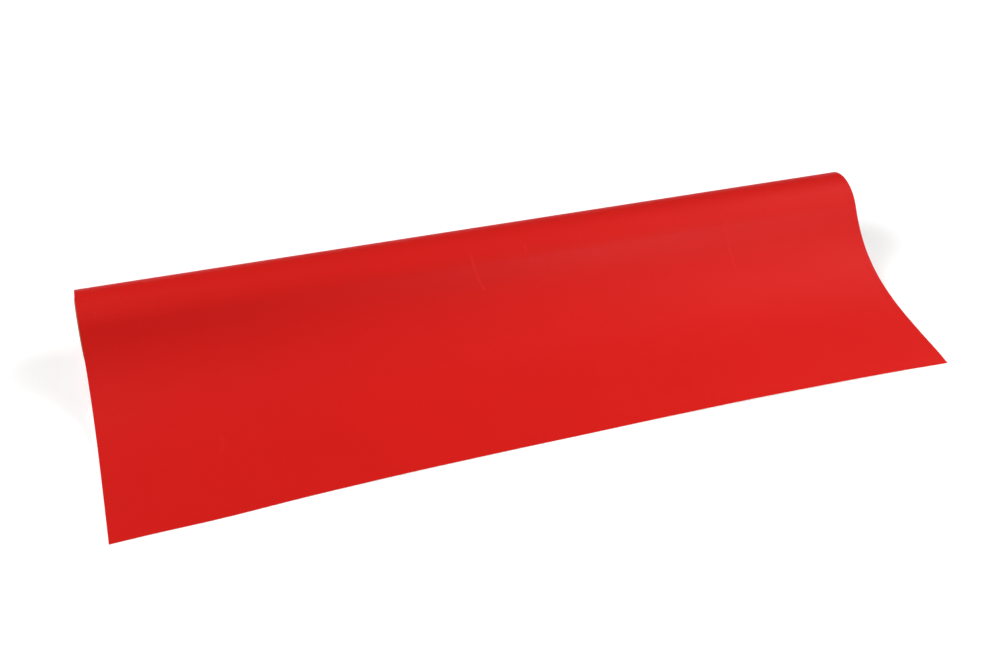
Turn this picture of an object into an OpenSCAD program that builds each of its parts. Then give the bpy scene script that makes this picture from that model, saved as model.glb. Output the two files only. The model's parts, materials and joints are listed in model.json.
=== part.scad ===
// A roll of self-adhesive sign vinyl on a board core, with its free end pulled forward and laid flat.
// X runs along the roll, the free end lies towards -Y, and both the roll and the free end rest on z = 0.
// The web is two sheets that run together: a release liner inside and the coloured film outside.

/* [Web] */
// Width of the web, along the roll
web_w = 1000; // [600:10:1300]
// Thickness of the film with its adhesive coat
film_t = 0.1; // [0.08:0.01:0.12]
// Thickness of the release liner
liner_t = 0.14; // [0.1:0.01:0.16]
// Air between one layer and the next
layer_gap = 0.005; // [0.004:0.001:0.008]

/* [Roll] */
// Outer radius of the roll
roll_r = 50.2; // [47:0.1:56]
// Air between the wound turns and the outer turn, which lies still while they turn
turn_gap = 0.3; // [0.3:0.05:0.6]

/* [Core] */
// Radius of the bore
bore_r = 38.1; // [37.9:0.05:38.4]
// Number of plies in the wall
plies = 8; // [6:1:9]
// Thickness of one ply
ply_t = 0.39; // [0.35:0.01:0.42]
// Glue line between two plies
glue_t = 0.01; // [0.01:0.005:0.02]
// How far the core stands out of the web at each end
core_proud = 1.5; // [0.5:0.5:5]
// Width of the tape that holds the start of the web
tape_w = 25; // [12:1:50]
// Thickness of the tape
tape_t = 0.08; // [0.06:0.01:0.08]

/* [Free end] */
// Angle above the horizontal at which the web leaves the front of the roll
leave_angle = 32.6; // [25:0.1:40]
// How late the slope starts to ease off: 1 at once, 2 late
ease_power = 1.24; // [1.05:0.01:1.8]
// Length of the curve, in lengths over which the slope fades by e
ease_span = 2.6; // [2.2:0.1:2.8]
// Distance from the roll's axis to the cut edge's left corner
reach_left = 326.6; // [312:0.1:600]
// Distance from the roll's axis to the cut edge's right corner
reach_right = 297; // [297:0.1:600]
// How far the middle of the cut lies back from a straight line between its corners
cut_bow = 11.7; // [0:0.1:12]

/* [Hidden] */
$fn = 180;

kraft = [0.66, 0.50, 0.33];
board = [0.58, 0.54, 0.49];
tape_white = [0.88, 0.87, 0.80];
liner_white = [0.93, 0.92, 0.88];
vinyl_red = [0.85, 0.13, 0.11];

// The layers of one turn, counted outwards from the turn's inner radius.
film_at = liner_t + layer_gap;
web_t = film_at + film_t;
pitch = web_t + layer_gap;

// The wall of the core, the tape on it, and the room that is left for whole turns.
ply_pitch = ply_t + glue_t;
core_r = bore_r + plies * ply_pitch - glue_t;
core_len = web_w + 2 * core_proud;
tape_r = core_r + glue_t;
turn_r = roll_r - web_t;
turns = floor((turn_r - turn_gap - tape_r - tape_t - glue_t) / pitch);
wound_r = turn_r - turn_gap - turns * pitch;

// The roll lies on the table, and the origin is under the middle of the whole object.
axis_y = (reach_left - roll_r) / 2;
axis_z = roll_r;

// The outer turn stops short of the free end, so that the two never touch.
turn_open = 8;

// The free end's slope at u, from 0 at the roll to 1 where it lies flat, fades like a relaxing spring.
curve_steps = 48;
fade_end = exp(-pow(ease_span, ease_power));
function slope(u) = (90 - leave_angle) * (exp(-pow(ease_span * u, ease_power)) - fade_end) / (1 - fade_end);
mid_slopes = [for (i = [0:curve_steps]) i < curve_steps ? slope((i + 0.5) / curve_steps) : 0];
mean_sine = [for (a = mid_slopes) sin(a)] * [for (a = mid_slopes) 1] / curve_steps;

// The curve's length follows from its shape and from the height that it has to come down.
leave_point = [-turn_r * cos(leave_angle), axis_z + turn_r * sin(leave_angle)];
curve_step = leave_point[1] / mean_sine / curve_steps;
underside = [
  for (i = 0, p = leave_point; i <= curve_steps; p = p - curve_step * heading(mid_slopes[i]), i = i + 1) p
];
function heading(a) = [cos(a), sin(a)];
function normal(a) = [-sin(a), cos(a)];

// Lays a flat (y, z) outline across the roll's axis and extrudes it along X, centred.
module along_roll(length) {
  translate([0, axis_y, 0]) rotate([90, 0, 90]) translate([0, 0, -length / 2]) linear_extrude(length) children();
}

module ring(r, t) {
  difference() {
    circle(r + t);
    circle(r);
  }
}

module tube(r, t, length) {
  along_roll(length) translate([0, axis_z]) ring(r, t);
}

// A turn is two half rings: the upper one about the axis, the lower one half a pitch off it and wider.
module half_turn(r, t, lower) {
  translate([lower ? pitch / 2 : 0, 0]) intersection() {
    ring(r, t);
    translate([-roll_r, lower ? -roll_r : 0]) square([2 * roll_r, roll_r]);
  }
}

module spiral(r, t, first, last) {
  along_roll(web_w) translate([0, axis_z]) for (i = [first:last]) {
    half_turn(r + i * pitch, t, false);
    half_turn(r + (i + 0.5) * pitch, t, true);
  }
}

// The outer turn runs from just under the free end, round the bottom, back and top, to where it leaves the roll.
module outer_turn(r, t) {
  translate([0, axis_y, axis_z]) rotate([90, 0, 90]) translate([0, 0, -web_w / 2])
    rotate_extrude(angle = 360 - turn_open, start = 180 - leave_angle + turn_open)
      translate([r, 0]) square([t, web_w]);
}

// Outline of one layer of the free end, from the roll to well past the cut.
module free_outline(from, to) {
  last = underside[curve_steps] - [reach_left, 0];
  function layer(h) = [for (i = [0:curve_steps]) underside[i] + h * normal(slope(i / curve_steps))];
  function reversed(list) = [for (i = [len(list) - 1:-1:0]) list[i]];
  polygon(concat(layer(from), [last + [0, from], last + [0, to]], reversed(layer(to))));
}

// Distance from the roll's axis to the cut edge, at u from 0 at the left corner to 1 at the right one.
function cut_reach(u) = reach_left * (1 - u) + reach_right * u - 4 * cut_bow * u * (1 - u);

// Everything in front of the hand-cut edge.
module cut_away() {
  cut_steps = 16;
  edge = [for (i = [0:cut_steps]) [(i / cut_steps - 0.5) * web_w, axis_y - cut_reach(i / cut_steps)]];
  far = axis_y - 3 * reach_left;
  side = web_w / 2 + 1;
  translate([0, 0, -1]) linear_extrude(3)
    polygon(concat([[-side, far], [-side, edge[0][1]]], edge, [[side, edge[cut_steps][1]], [side, far]]));
}

module free_end(from, to) {
  difference() {
    along_roll(web_w) free_outline(from, to);
    cut_away();
  }
}

module core_inner_ply() {
  color(kraft) tube(bore_r, ply_t, core_len);
}

module core_board_plies() {
  color(board) for (i = [1:plies - 2]) tube(bore_r + i * ply_pitch, ply_t, core_len);
}

module core_outer_ply() {
  color(kraft) tube(core_r - ply_t, ply_t, core_len);
}

// The tape lies on the core at the back, where the web starts, bent to it in narrow flats.
module start_tape() {
  flats = 24;
  sweep = tape_w / core_r * 180 / PI;
  function bend(r, a, b) = [for (i = [0:flats]) let (c = a + (b - a) * i / flats) r * [cos(c), sin(c)]];
  color(tape_white) along_roll(web_w) translate([0, axis_z])
    polygon(concat(bend(tape_r, 0, sweep), bend(tape_r + tape_t, sweep, 0)));
}

module wound_liner() {
  color(liner_white) spiral(wound_r, liner_t, 0, turns - 1);
}

module wound_film() {
  color(vinyl_red) spiral(wound_r + film_at, film_t, 0, turns - 2);
}

module wound_film_last_turn() {
  color(vinyl_red) spiral(wound_r + film_at, film_t, turns - 1, turns - 1);
}

module outer_turn_liner() {
  color(liner_white) outer_turn(turn_r, liner_t);
}

module outer_turn_film() {
  color(vinyl_red) outer_turn(turn_r + film_at, film_t);
}

module free_end_liner() {
  color(liner_white) free_end(0, liner_t);
}

module free_end_film() {
  color(vinyl_red) free_end(film_at, web_t);
}

core_inner_ply();
core_board_plies();
core_outer_ply();
start_tape();
wound_liner();
wound_film();
wound_film_last_turn();
outer_turn_liner();
outer_turn_film();
free_end_liner();
free_end_film();
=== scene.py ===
"""A roll of red sign vinyl with its free end pulled forward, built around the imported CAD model."""

import json
import math

import bmesh
import bpy
import numpy as np
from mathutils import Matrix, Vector


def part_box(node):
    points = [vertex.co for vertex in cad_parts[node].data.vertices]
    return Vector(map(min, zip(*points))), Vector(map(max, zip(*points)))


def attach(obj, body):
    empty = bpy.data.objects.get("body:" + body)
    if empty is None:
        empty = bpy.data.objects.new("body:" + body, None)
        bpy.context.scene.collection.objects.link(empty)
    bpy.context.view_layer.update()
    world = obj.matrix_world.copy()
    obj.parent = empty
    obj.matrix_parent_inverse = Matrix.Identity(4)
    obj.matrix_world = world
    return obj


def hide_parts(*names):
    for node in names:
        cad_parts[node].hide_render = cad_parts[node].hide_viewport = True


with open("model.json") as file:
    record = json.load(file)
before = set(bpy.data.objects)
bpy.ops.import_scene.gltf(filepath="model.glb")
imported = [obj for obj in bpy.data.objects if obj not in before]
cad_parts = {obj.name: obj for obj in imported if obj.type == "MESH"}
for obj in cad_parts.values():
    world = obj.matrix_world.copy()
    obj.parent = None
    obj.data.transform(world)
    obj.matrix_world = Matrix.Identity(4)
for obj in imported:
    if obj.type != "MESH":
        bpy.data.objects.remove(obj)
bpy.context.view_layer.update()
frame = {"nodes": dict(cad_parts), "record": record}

MM = 0.001

# ---------------------------------------------------------------- sizes, all from the frame
# The roll's axis and bore, from the mount; the web, the cut edge and the core, from the nodes' boxes.
bore = next(m for m in frame["record"]["mounts"] if m["name"] == "core_bore")
AXIS_Y, AXIS_Z = bore["pos_m"][1:]
BORE_R = bore["dims"]["r_mm"] * MM
WEB_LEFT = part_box("free_end_film")[0].x
WEB_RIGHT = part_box("free_end_film")[1].x
WEB_W = WEB_RIGHT - WEB_LEFT
CORE_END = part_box("core_inner_ply")[1].x
CORE_R = (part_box("core_outer_ply")[1].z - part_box("core_outer_ply")[0].z) / 2
ROLL_R = AXIS_Z

# One turn of the web, counted outwards: liner, air, film, air.
LINER_T = 0.14 * MM
FILM_T = 0.10 * MM
AIR_T = 0.005 * MM
FILM_AT = LINER_T + AIR_T
WEB_T = FILM_AT + FILM_T
PITCH = WEB_T + AIR_T
TURN_R = ROLL_R - WEB_T

# The wound turns start on the tape and end where the outer turn begins, clear of it all round as they turn.
START_ANGLE = 0.0
LEAVE_ANGLE = math.radians(180 - 33.5)
OPEN_ANGLE = math.radians(8)
TURN_CLEARANCE = 0.08 * MM
WOUND_START_R = CORE_R + 0.105 * MM
WOUND_END_R = TURN_R - PITCH - TURN_CLEARANCE - WEB_T
WHOLE_TURNS = 32
TURN_LENGTH = (2 * math.pi - OPEN_ANGLE) * TURN_R
WOUND_INSET = 0.3 * MM

# The free end's slope fades from its value at the roll as exp(-(s / FADE_LENGTH) ** FADE_POWER).
# PATH_REACH is how much of that path is worked out, well past the cut.
FADE_POWER = 1.47
FADE_LENGTH = 93 * MM
PATH_REACH = 0.36
PATH_STEPS = 2000


# ---------------------------------------------------------------- meshes
def mesh_object(name, bm, body, crease=40):
    """Makes bm a smooth-shaded object that rides on body, with edges over crease degrees kept sharp."""
    bmesh.ops.recalc_face_normals(bm, faces=bm.faces)
    for face in bm.faces:
        face.smooth = True
    for edge in bm.edges:
        edge.smooth = len(edge.link_faces) == 2 and edge.calc_face_angle() < math.radians(crease)
    mesh = bpy.data.meshes.new(name)
    bm.to_mesh(mesh)
    bm.free()
    obj = bpy.data.objects.new(name, mesh)
    bpy.context.scene.collection.objects.link(obj)
    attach(obj, body)
    return obj


def shell(outer, inner, uv, closed=False):
    """A thin closed solid between two grids of points, shape (rows, columns, 3), that face the same way.

    uv, shape (rows, columns, 2), goes on both faces and on the rims, in metres. closed joins the last row
    to the first.
    """
    rows, columns = outer.shape[:2]
    bm = bmesh.new()
    layer = bm.loops.layers.uv.new("web")
    grids = [[[bm.verts.new(p) for p in row] for row in grid] for grid in (outer, inner)]

    def face(corners):
        made = bm.faces.new([grids[g][i % rows][j] for g, i, j in corners])
        for loop, (_, i, j) in zip(made.loops, corners):
            loop[layer].uv = uv[min(i, len(uv) - 1), j]

    last = rows if closed else rows - 1
    for i in range(last):
        for j in range(columns - 1):
            face([(0, i, j), (0, i + 1, j), (0, i + 1, j + 1), (0, i, j + 1)])
            face([(1, i, j), (1, i, j + 1), (1, i + 1, j + 1), (1, i + 1, j)])
        face([(0, i + 1, 0), (0, i, 0), (1, i, 0), (1, i + 1, 0)])
        end = columns - 1
        face([(0, i, end), (0, i + 1, end), (1, i + 1, end), (1, i, end)])
    if not closed:
        for j in range(columns - 1):
            face([(0, 0, j), (0, 0, j + 1), (1, 0, j + 1), (1, 0, j)])
            face([(0, last, j + 1), (0, last, j), (1, last, j), (1, last, j + 1)])
    return bm


def smooth_noise(count, reach, seed):
    """count values around 0, within about 1, that change over about reach steps."""
    rng = np.random.default_rng(seed)
    knots = rng.uniform(-1, 1, int(count / reach) + 4)
    at = np.arange(count) / reach
    i = at.astype(int)
    t = at - i
    t = t * t * (3 - 2 * t)
    return knots[i] * (1 - t) + knots[i + 1] * t


# ---------------------------------------------------------------- the web's path
def roll_point(angle, radius):
    """(y, z) at an angle about the roll's axis, 0 at the back and 90 degrees at the top."""
    return AXIS_Y + radius * np.cos(angle), AXIS_Z + radius * np.sin(angle)


def outer_turn_path(steps):
    """The liner's inner face round the roll, from under the free end to where it leaves the roll.

    Each row is y, z, normal y, normal z.
    """
    turn = 2 * math.pi - OPEN_ANGLE
    angle = np.linspace(LEAVE_ANGLE - turn, LEAVE_ANGLE, steps + 1)
    radius = TURN_R - PITCH * (LEAVE_ANGLE - angle) / (2 * math.pi)
    y, z = roll_point(angle, radius)
    return np.stack([y, z, np.cos(angle), np.sin(angle)], 1)


def free_end_path(steps, length):
    """The liner's underside from the roll out over the table, in such rows, and the path's length at each."""
    s = np.linspace(0, length, steps + 1)
    steepest = LEAVE_ANGLE - math.pi / 2
    slope = steepest * np.exp(-((s / FADE_LENGTH) ** FADE_POWER))
    mid = steepest * np.exp(-(((s[1:] + s[:-1]) / 2 / FADE_LENGTH) ** FADE_POWER))
    step = length / steps
    y0, z0 = roll_point(LEAVE_ANGLE, TURN_R)
    y = y0 - np.concatenate([[0], np.cumsum(np.cos(mid))]) * step
    z = z0 - np.concatenate([[0], np.cumsum(np.sin(mid))]) * step
    z -= z[-1] * s / length
    return np.stack([y, z, -np.sin(slope), np.cos(slope)], 1), s


def cut_edge():
    """The cut edge's y at u, from 0 at the left corner to 1 at the right one.

    It is a parabola through three points of the CAD's cut, with a slight bulge forward near the left corner.
    """
    points = [v.co for v in frame["nodes"]["free_end_film"].data.vertices]

    def front(x):
        return min(p.y for p in points if abs(p.x - x) < WEB_W / 100)

    left, middle, right = front(WEB_LEFT), front((WEB_LEFT + WEB_RIGHT) / 2), front(WEB_RIGHT)
    skew = 4 * middle - 3 * left - right
    bow = 2 * (left + right - 2 * middle)

    def edge(u):
        bulge = 2.2 * MM * math.exp(-(((u - 0.12) / 0.07) ** 2))
        return left + skew * u + bow * u * u - bulge

    return edge


def lift(u, behind):
    """How far the free end stands off the table, at u across it and behind metres back from the cut edge.

    It arches up over its last 95 mm, most towards the right, and its right corner touches the table again.
    """
    off_table = 1 / (1 + np.exp((behind - 0.095) / 0.018))
    arch = 2.4 * MM * np.exp(-(((u - 0.82) / 0.2) ** 2)) + 0.7 * MM * np.exp(-(((u - 0.3) / 0.16) ** 2))
    corner = np.exp(-(((1 - u) / 0.035) ** 2)) * np.exp(-((behind / 0.012) ** 2))
    curl = 1 - 0.25 * np.exp(-((behind / 0.02) ** 2))
    return arch * off_table * curl * (1 - corner)


def ripple(u, s):
    """Slight waves along the free end, in metres, which fade out at the roll."""
    fade = 1 - np.exp(-((s / 0.05) ** 2))
    waves = np.sin(2 * np.pi * (3.1 * u + 0.12)) * 0.16 + np.sin(2 * np.pi * (7.3 * u + 1.7 * s + 0.4)) * 0.07
    return waves * MM * fade


def free_web(across=100, around=120, along=150):
    """Grids of points on the liner's underside, its normals, and the uv: x from the left, path length."""
    round_roll = outer_turn_path(around)
    path, path_s = free_end_path(PATH_STEPS, PATH_REACH)
    edge = cut_edge()
    u = np.linspace(0, 1, across + 1)
    points = np.zeros((around + along + 1, across + 1, 3))
    normals = np.zeros_like(points)
    uv = np.zeros((around + along + 1, across + 1, 2))
    for j, across_u in enumerate(u):
        x = WEB_LEFT + WEB_W * across_u
        cut = edge(across_u)
        s_cut = np.interp(-cut, -path[:, 0], path_s)
        s = s_cut * np.linspace(0, 1, along + 1)[1:]
        rows = np.stack([np.interp(s, path_s, path[:, k]) for k in range(4)], 1)
        rows[:, 1] += lift(across_u, rows[:, 0] - cut) + ripple(across_u, s)
        rows[:, 1] = np.maximum(rows[:, 1], 0)
        both = np.concatenate([round_roll, rows])
        points[:, j] = np.stack([np.full(len(both), x), both[:, 0], both[:, 1]], 1)
        normals[:, j] = np.stack([np.zeros(len(both)), both[:, 2], both[:, 3]], 1)
        uv[:, j, 0] = across_u * WEB_W
        uv[:, j, 1] = np.concatenate([np.linspace(0, TURN_LENGTH, around + 1), TURN_LENGTH + s])
    return points, normals, uv


def free_sheet(name, web, inside, outside):
    """One layer of the outer turn and free end, between two heights above the liner's underside."""
    points, normals, uv = web
    layer = shell(points + normals * outside, points + normals * inside, uv)
    return mesh_object(name, layer, "free_end")


def wound_sheet(name, inside, outside, seed, steps=120):
    """The wound turns of one layer: a spiral whose ends stand a little in and out from turn to turn."""
    end_angle = 2 * math.pi * WHOLE_TURNS + LEAVE_ANGLE + OPEN_ANGLE - math.radians(1)
    step = 2 * math.pi / steps
    angle = np.append(np.arange(START_ANGLE, end_angle, step), end_angle)
    radius = WOUND_START_R + (WOUND_END_R - WOUND_START_R) * angle / end_angle
    wander = smooth_noise(len(angle), steps * 1.5, seed) * 0.22 * MM
    wander += smooth_noise(len(angle), steps * 8, seed + 1) * 0.3 * MM
    grids = []
    for offset in (outside, inside):
        y, z = roll_point(angle, radius + offset)
        left = np.stack([WEB_LEFT + WOUND_INSET + wander, y, z], 1)
        right = np.stack([WEB_RIGHT - WOUND_INSET + wander, y, z], 1)
        grids.append(np.stack([left, right], 1))
    path = np.concatenate([[0], np.cumsum((radius[1:] + radius[:-1]) / 2 * np.diff(angle))])
    uv = np.stack([np.stack([np.full(len(path), across), path], 1) for across in (0, WEB_W)], 1)
    piece = mesh_object(name, shell(grids[0], grids[1], uv), "roll")
    piece["web_length"] = float(path[-1])
    return piece


# ---------------------------------------------------------------- the core
PLIES = 8
PLY_PITCH = (CORE_R - BORE_R) / PLIES
GLUE_T = 0.012 * MM
SEAM_PITCH = 97 * MM


def ply(name, inner, outer, end, seed, around=128, along=12):
    """One ply of the core: a tube whose knife-cut ends wander by a few hundredths of a millimetre."""
    angle = np.linspace(0, 2 * math.pi, around + 1)[:-1]
    x = np.linspace(-1, 1, along + 1)
    grids = []
    for g, radius in enumerate((outer, inner)):
        grid = np.zeros((around, along + 1, 3))
        for side in (0, -1):
            wander = np.sin(angle * 3 + seed) * 0.03 + np.sin(angle * 11 + 2 * seed) * 0.02
            edge = end + wander * MM
            grid[:, side, 0] = edge if side else -edge
        for j in range(1, along):
            grid[:, j, 0] = x[j] * (end - 2 * MM)
        grid[:, :, 1], grid[:, :, 2] = (c[:, None] for c in roll_point(angle, radius))
        grids.append(grid)
    path = np.linspace(0, 2 * math.pi * outer, around + 1)
    uv = np.stack(np.broadcast_arrays((x[None] + 1) * end, path[:, None]), 2)
    return mesh_object(name, shell(grids[0], grids[1], uv, closed=True), "roll")


# ---------------------------------------------------------------- materials
class Nodes:
    """Short names for building a node tree."""

    def __init__(self, name, **constants):
        self.material = bpy.data.materials.new(name)
        self.material.use_nodes = True
        self.tree = self.material.node_tree
        self.shader = self.tree.nodes["Principled BSDF"]
        for socket, value in constants.items():
            self.shader.inputs[socket.replace("_", " ")].default_value = value

    def add(self, kind, inputs=None, **settings):
        node = self.tree.nodes.new("ShaderNode" + kind)
        for key, value in settings.items():
            setattr(node, key, value)
        for socket, value in (inputs or {}).items():
            self.put(node.inputs[socket], value)
        return node

    def put(self, socket, value):
        if isinstance(value, bpy.types.NodeSocket):
            self.tree.links.new(value, socket)
        else:
            socket.default_value = value

    def web(self, across=1.0, along=1.0):
        """The sheet's own coordinates in metres, scaled."""
        uv = self.add("UVMap", uv_map="web").outputs[0]
        return self.add("Mapping", {"Vector": uv, "Scale": (across, along, 1)}).outputs[0]

    def place(self):
        return self.add("TexCoord").outputs["Object"]

    def noise(self, vector, scale, detail=2.0, roughness=0.5):
        inputs = {"Vector": vector, "Scale": scale, "Detail": detail, "Roughness": roughness}
        return self.add("TexNoise", inputs).outputs[0]

    def span(self, value, low, high, to_low=0.0, to_high=1.0):
        """value from low..high to to_low..to_high, clamped."""
        inputs = {0: value, 1: low, 2: high, 3: to_low, 4: to_high}
        return self.add("MapRange", inputs).outputs[0]

    def math(self, operation, a, b=0.0):
        return self.add("Math", {0: a, 1: b}, operation=operation).outputs[0]

    def mix(self, factor, a, b):
        node = self.add("Mix", data_type="RGBA")
        for socket, value in ((0, factor), (6, a), (7, b)):
            self.put(node.inputs[socket], value)
        return node.outputs[2]

    def bump(self, height, distance, strength=1.0, normal=None):
        inputs = {"Height": height, "Distance": distance, "Strength": strength}
        if normal is not None:
            inputs["Normal"] = normal
        return self.add("Bump", inputs).outputs[0]

    def finish(self, colour=None, roughness=None, normal=None):
        for socket, value in (("Base Color", colour), ("Roughness", roughness), ("Normal", normal)):
            if value is not None:
                self.put(self.shader.inputs[socket], value)
        return self.material


def scuff(n, start, end, width, bow=0.0):
    """1 on a thin worn line between two places on the web, in metres, bowed sideways by bow of its length."""
    across, along = end[0] - start[0], end[1] - start[1]
    length = math.hypot(across, along)
    inputs = {"Vector": n.web(), "Location": (*start, 0), "Rotation": (0, 0, math.atan2(along, across))}
    inputs["Scale"] = (length, length, 1)
    local = n.add("SeparateXYZ", {0: n.add("Mapping", inputs, vector_type="TEXTURE").outputs[0]}).outputs
    arch = n.math("MULTIPLY", local[0], n.math("SUBTRACT", 1.0, local[0]))
    aside = n.math("ABSOLUTE", n.math("SUBTRACT", local[1], n.math("MULTIPLY", arch, 4 * bow)))
    line = n.span(aside, 0, width / length, 1, 0)
    ends = n.math("MULTIPLY", n.span(local[0], 0, 0.2), n.span(local[0], 0.9, 1, 1, 0))
    worn = n.span(n.noise(n.web(), 160, 2), 0.38, 0.6, 0.35, 1)
    return n.math("MULTIPLY", n.math("MULTIPLY", line, ends), worn)


def vinyl_film():
    """Matt calendered red vinyl: fine grain, faint streaks along the web, uneven gloss and light scuffs."""
    n = Nodes("red_vinyl", Specular_IOR_Level=0.18, IOR=1.5)
    grain = n.noise(n.web(), 900, 3, 0.6)
    streaks = n.noise(n.web(70, 1.2), 1, 3, 0.55)
    clouds = n.noise(n.web(), 7, 3, 0.5)
    red, deep = (0.64, 0.0078, 0.005, 1), (0.62, 0.0072, 0.0046, 1)
    colour = n.mix(n.span(clouds, 0.3, 0.7), red, deep)
    roughness = n.math("ADD", n.span(clouds, 0.3, 0.7, 0.48, 0.53), n.span(streaks, 0.3, 0.7, -0.015, 0.015))
    for start, end, width, bow, strength in SCUFFS:
        mask = scuff(n, start, end, width, bow)
        colour = n.mix(n.math("MULTIPLY", mask, strength), colour, (0.80, 0.024, 0.019, 1))
        roughness = n.math("ADD", roughness, n.math("MULTIPLY", mask, 0.08))
    normal = n.bump(grain, 0.02 * MM, 0.35)
    normal = n.bump(n.noise(n.web(), 28, 2), 0.12 * MM, 0.5, normal)
    return n.finish(colour, roughness, normal)


def liner_paper():
    """Smooth siliconised liner: off-white, with a soft gloss and a faint paper formation."""
    n = Nodes("release_liner", Specular_IOR_Level=0.45)
    formation = n.noise(n.web(), 260, 4, 0.6)
    colour = n.mix(n.span(formation, 0.3, 0.7), (0.86, 0.85, 0.80, 1), (0.80, 0.79, 0.73, 1))
    roughness = n.span(formation, 0.3, 0.7, 0.34, 0.44)
    return n.finish(colour, roughness, n.bump(formation, 0.01 * MM, 0.4))


def core_paper(name, light, dark, seam=False):
    """Brown or grey core paper with fibres and flecks, and with the spiral butt seam of a ply's strip."""
    n = Nodes(name, Specular_IOR_Level=0.3)
    fibres = n.noise(n.web(500, 1400), 1, 4, 0.65)
    flecks = n.noise(n.place(), 900, 2, 0.5)
    colour = n.mix(n.span(fibres, 0.35, 0.7), light, dark)
    colour = n.mix(n.span(flecks, 0.66, 0.74, 0, 0.5), colour, tuple(c * 0.5 for c in dark[:3]) + (1,))
    normal = n.bump(fibres, 0.03 * MM, 0.6)
    if seam:
        around = 2 * math.pi * (BORE_R + PLY_PITCH - GLUE_T)
        turned = n.add("SeparateXYZ", {0: n.web(1 / SEAM_PITCH, 1 / around)}).outputs
        aside = n.math("PINGPONG", n.math("ADD", turned[0], turned[1]), 0.5)
        joint = n.span(aside, 0.2 * MM / SEAM_PITCH, 0.6 * MM / SEAM_PITCH, 1, 0)
        colour = n.mix(n.math("MULTIPLY", joint, 0.6), colour, tuple(c * 0.35 for c in dark[:3]) + (1,))
        normal = n.bump(joint, -0.15 * MM, 0.8, normal)
    return n.finish(colour, n.span(fibres, 0.3, 0.7, 0.68, 0.86), normal)


def tape_film():
    """Pale, slightly mottled double-sided tape."""
    n = Nodes("start_tape", Specular_IOR_Level=0.4)
    mottle = n.noise(n.place(), 400, 3)
    colour = n.mix(n.span(mottle, 0.3, 0.7), (0.80, 0.78, 0.68, 1), (0.70, 0.67, 0.56, 1))
    return n.finish(colour, n.span(mottle, 0.3, 0.7, 0.4, 0.55))


# Light scuffs on the free web, placed to the nearest 5 mm: start and end as (across, along) in metres, then
# width, bow and strength.
SCUFFS = [
    ((0.475, 0.285), (0.485, 0.340), 2.4 * MM, 0.06, 0.55),
    ((0.545, 0.285), (0.545, 0.300), 2.8 * MM, 0.0, 0.4),
    ((0.815, 0.290), (0.815, 0.365), 2.2 * MM, 0.03, 0.3),
    ((0.135, 0.470), (0.130, 0.505), 4.0 * MM, -0.08, 0.25),
    ((0.020, 0.285), (0.020, 0.295), 2.2 * MM, 0.0, 0.35),
    ((0.155, 0.565), (0.160, 0.565), 2.2 * MM, 0.0, 0.3),
]


def give(material, *pieces):
    for piece in pieces:
        piece.data.materials.clear()
        piece.data.materials.append(material)


# ---------------------------------------------------------------- the object
web = free_web()
film = free_sheet("vinyl_film", web, FILM_AT, WEB_T)
liner = free_sheet("release_liner_sheet", web, 0, LINER_T)
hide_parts("outer_turn_film", "free_end_film")
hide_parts("outer_turn_liner", "free_end_liner")

film_turns = wound_sheet("wound_vinyl_turns", FILM_AT, WEB_T, 11)
liner_turns = wound_sheet("wound_liner_turns", 0, LINER_T, 11)
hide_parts("wound_film", "wound_film_last_turn")
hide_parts("wound_liner")

plies = []
for k in range(PLIES):
    inner = BORE_R + k * PLY_PITCH
    outer = BORE_R + (k + 1) * PLY_PITCH - GLUE_T
    plies.append(ply(f"core_ply_{k + 1}", inner, outer, CORE_END, k + 1))
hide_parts("core_inner_ply")
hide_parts("core_board_plies")
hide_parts("core_outer_ply")

give(vinyl_film(), film, film_turns)
give(liner_paper(), liner, liner_turns)
kraft = [(0.42, 0.25, 0.12, 1), (0.33, 0.19, 0.09, 1)]
give(core_paper("kraft_lining", *kraft, seam=True), plies[0])
give(core_paper("kraft_cover", *kraft), plies[-1])
give(core_paper("board_pale", (0.35, 0.30, 0.235, 1), (0.26, 0.22, 0.17, 1)), *plies[1:-1:2])
give(core_paper("board_dark", (0.25, 0.21, 0.16, 1), (0.19, 0.16, 0.12, 1)), *plies[2:-1:2])
give(tape_film(), frame["nodes"]["start_tape"])

# ---------------------------------------------------------------- floor, light and camera
FLOOR_SIZE = 60


def floor():
    """A pale table that goes over into a lit backdrop some metres away.

    To keep it plain, it looks a little brighter to the camera than it lights the object.
    """
    bm = bmesh.new()
    bmesh.ops.create_grid(bm, x_segments=1, y_segments=1, size=FLOOR_SIZE / 2)
    mesh = bpy.data.meshes.new("floor")
    bm.to_mesh(mesh)
    bm.free()
    obj = bpy.data.objects.new("floor", mesh)
    bpy.context.scene.collection.objects.link(obj)
    n = Nodes("floor_paper", Roughness=0.85, Specular_IOR_Level=0.2)
    tone = n.span(n.noise(n.place(), 1.5, 2), 0.3, 0.7)
    away = n.add("VectorMath", {0: n.place()}, operation="LENGTH").outputs["Value"]
    n.put(n.shader.inputs["Emission Color"], (1, 1, 1, 1))
    light = n.span(away, 1.2, 7, 0.12, 1)
    seen = n.span(away, 0.8, 3.5, 0.25, 1)
    glow = n.span(n.add("LightPath").outputs["Is Camera Ray"], 0, 1, light, seen)
    n.put(n.shader.inputs["Emission Strength"], glow)
    give(n.finish(n.mix(tone, (0.93, 0.93, 0.93, 1), (0.91, 0.91, 0.91, 1))), obj)


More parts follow.
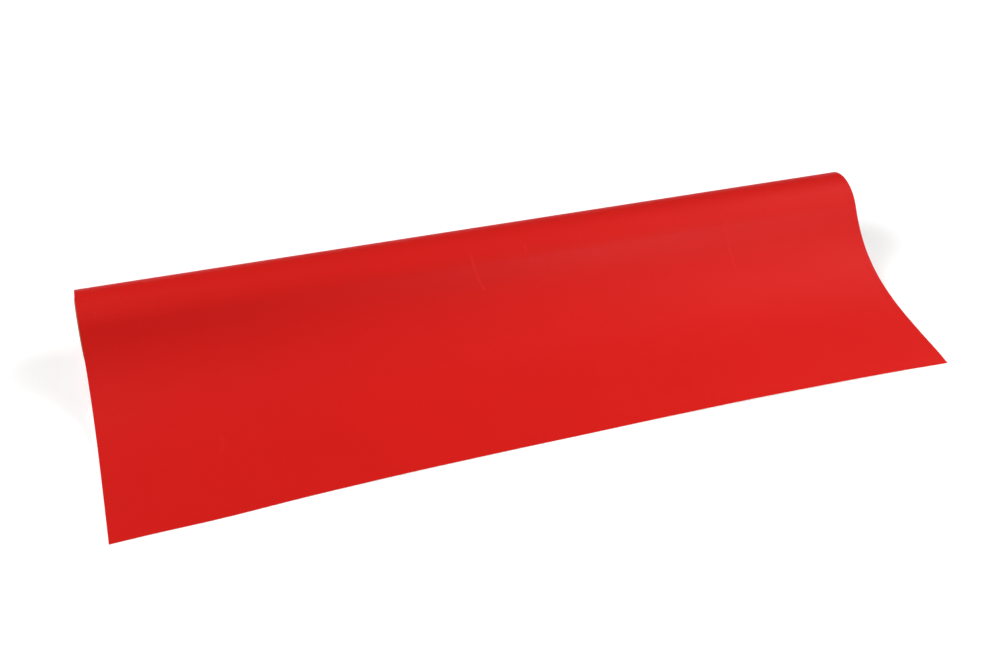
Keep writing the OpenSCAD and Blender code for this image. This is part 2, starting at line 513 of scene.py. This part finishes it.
def softbox(name, azimuth, elevation, size, power, distance=5.0, spread=180):
    """A square softbox that faces the middle of the object, at an azimuth from +X towards +Y."""
    data = bpy.data.lights.new(name, "AREA")
    data.shape = "SQUARE"
    data.size = size
    data.energy = power
    data.spread = math.radians(spread)
    obj = bpy.data.objects.new(name, data)
    bpy.context.scene.collection.objects.link(obj)
    obj.visible_camera = False
    a, e = math.radians(azimuth), math.radians(elevation)
    towards = Vector((math.cos(e) * math.cos(a), math.cos(e) * math.sin(a), math.sin(e)))
    obj.location = Vector((0.1, 0, 0.03)) + distance * towards
    obj.rotation_euler = towards.to_track_quat("Z", "Y").to_euler()


def dim_world(seen, light):
    """A plain world that looks as bright as seen, and lights the scene with only light."""
    world = bpy.data.worlds.new("studio")
    world.use_nodes = True
    nodes, links = world.node_tree.nodes, world.node_tree.links
    strength = nodes.new("ShaderNodeMapRange")
    strength.inputs["To Min"].default_value = light
    strength.inputs["To Max"].default_value = seen
    links.new(nodes.new("ShaderNodeLightPath").outputs["Is Camera Ray"], strength.inputs["Value"])
    links.new(strength.outputs[0], nodes["Background"].inputs["Strength"])
    nodes["Background"].inputs["Color"].default_value = (1, 1, 1, 1)
    bpy.context.scene.world = world


floor()
dim_world(seen=1.0, light=0.08)
softbox("right", 0, 36, 4.0, 158)
softbox("left_back", 165, 38, 4.0, 172)
softbox("left", 195, 38, 4.0, 62)
softbox("overhead", 60, 58, 3.0, 8)
softbox("front_low", -60, 22, 0.7, 3, distance=1.1, spread=130)

# The camera stands left of the middle and looks down along the roll, as a person at the table would.
CAMERA_AT = (-0.4267, AXIS_Y - 1.4908, 1.0437)
CAMERA_PITCH, CAMERA_YAW = math.radians(90 - 35.303), math.radians(-16.728)
camera = bpy.data.objects.new("camera", bpy.data.cameras.new("camera"))
bpy.context.scene.collection.objects.link(camera)
camera.location = CAMERA_AT
camera.rotation_euler = (CAMERA_PITCH, 0, CAMERA_YAW)
camera.data.lens = 51.97
camera.data.sensor_width = 36
camera.data.clip_start = 0.05
camera.data.clip_end = 200
bpy.context.scene.camera = camera
bpy.context.scene.view_settings.view_transform = "Standard"
